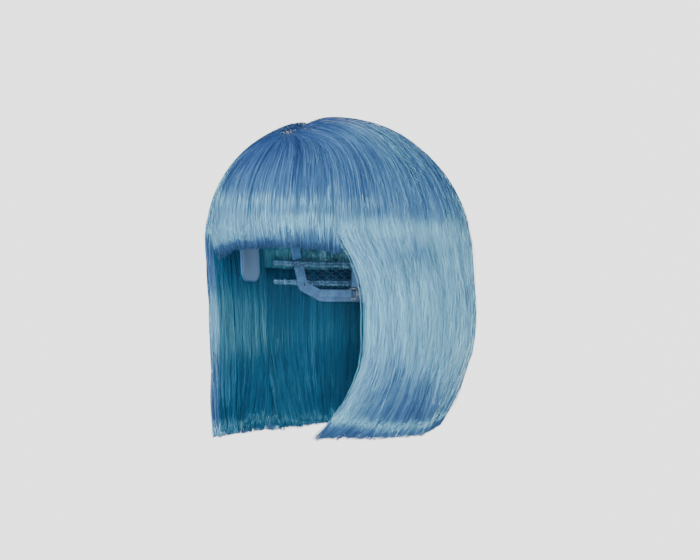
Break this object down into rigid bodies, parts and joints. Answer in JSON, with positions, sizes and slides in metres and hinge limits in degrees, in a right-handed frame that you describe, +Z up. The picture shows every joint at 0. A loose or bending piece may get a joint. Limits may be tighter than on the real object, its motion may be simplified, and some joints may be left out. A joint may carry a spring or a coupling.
{
  "type": "costume wig",
  "caption": "Short straight bob wig with a blunt fringe: net cap with tapes, weft tracks and nape adjusters, under layered hair whose fringe, sides and back lift.",
  "frame": {"origin": "on the upright axis of the cap, at its widest level, about brow height on the wearer", "axes": "+Z up, the wearer faces -Y, the wearer's left is +X"},
  "size_m": [0.2084, 0.2362, 0.2539],
  "materials": {
    "hair_fibre": "silky synthetic fibre, light blue",
    "cap_net": "stretch net, dark blue",
    "weft_track": "sewn binding, mid blue",
    "elastic": "woven elastic, near black",
    "loop_thread": "braided loop tape, near black",
    "hook_plastic": "moulded, dark",
    "label_satin": "white satin, blank",
    "tab_cloth": "lined cloth, mid blue",
    "ribbon": "woven ribbon, dark blue"
  },
  "bodies": {
    "cap": {"cap_net_front": "cap_net", "cap_net_back": "cap_net", "front_band": "ribbon", "side_band_left": "ribbon", "side_band_right": "ribbon", "nape_band": "ribbon", "cross_tape": "ribbon", "centre_tape": "ribbon", "back_tape_left": "ribbon", "back_tape_right": "ribbon", "crown_patch": "tab_cloth", "fringe_track": "weft_track", "side_track_left": "weft_track", "side_track_right": "weft_track", "crown_tracks": "weft_track", "back_track_1": "weft_track", "back_track_2": "weft_track", "back_track_3": "weft_track", "back_track_4": "weft_track", "back_track_5": "weft_track", "back_track_6": "weft_track", "adjuster_loops_left": "loop_thread", "adjuster_loops_right": "loop_thread", "adjuster_strap_left": "elastic", "adjuster_strap_right": "elastic", "care_label": "label_satin", "crown_hair_left": "hair_fibre", "crown_hair_right": "hair_fibre", "nape_hair": "hair_fibre", "temple_hair_left": "hair_fibre", "temple_hair_right": "hair_fibre"},
    "fringe": {"fringe_hair_outer": "hair_fibre", "fringe_hair_inner": "hair_fibre"},
    "side_hair_left": {"side_hair_left_outer": "hair_fibre", "side_hair_left_inner": "hair_fibre"},
    "side_hair_right": {"side_hair_right_outer": "hair_fibre", "side_hair_right_inner": "hair_fibre"},
    "back_hair": {"back_hair_outer": "hair_fibre", "back_hair_inner": "hair_fibre"},
    "ear_tab_left": {"ear_tab_left": "tab_cloth"},
    "ear_tab_right": {"ear_tab_right": "tab_cloth"},
    "hook_left": {"adjuster_hook_left": "hook_plastic"},
    "hook_right": {"adjuster_hook_right": "hook_plastic"}
  },
  "joints": [
    {"name": "fringe_lift", "type": "hinge", "parent": "cap", "child": "fringe", "pos_m": [0, -0.08521, 0.062], "axis": [-1, 0, 0], "range_deg": [0, 35]},
    {"name": "side_hair_left_swing", "type": "hinge", "parent": "cap", "child": "side_hair_left", "pos_m": [0.0836, 0, 0.03], "axis": [0, -1, 0], "range_deg": [0, 40]},
    {"name": "side_hair_right_swing", "type": "hinge", "parent": "cap", "child": "side_hair_right", "pos_m": [-0.0836, 0, 0.03], "axis": [0, 1, 0], "range_deg": [0, 40]},
    {"name": "back_hair_lift", "type": "hinge", "parent": "cap", "child": "back_hair", "pos_m": [0, 0.09387, 0.03], "axis": [1, 0, 0], "range_deg": [0, 40]},
    {"name": "ear_tab_left_fold", "type": "hinge", "parent": "cap", "child": "ear_tab_left", "pos_m": [0.06968, 0, 0.0096], "axis": [0, 1, 0], "range_deg": [0, 65]},
    {"name": "ear_tab_right_fold", "type": "hinge", "parent": "cap", "child": "ear_tab_right", "pos_m": [-0.06968, 0, 0.0096], "axis": [0, -1, 0], "range_deg": [0, 65]},
    {"name": "hook_left_shift", "type": "hinge", "parent": "cap", "child": "hook_left", "pos_m": [-0.00098, 0.01777, -0.0325], "axis": [0, 0, -1], "range_deg": [0, 13.06], "deforming": ["adjuster_strap_left"]},
    {"name": "hook_right_shift", "type": "hinge", "parent": "cap", "child": "hook_right", "pos_m": [0.00098, 0.01777, -0.0325], "axis": [0, 0, 1], "range_deg": [0, 13.06], "deforming": ["adjuster_strap_right"]}
  ]
}
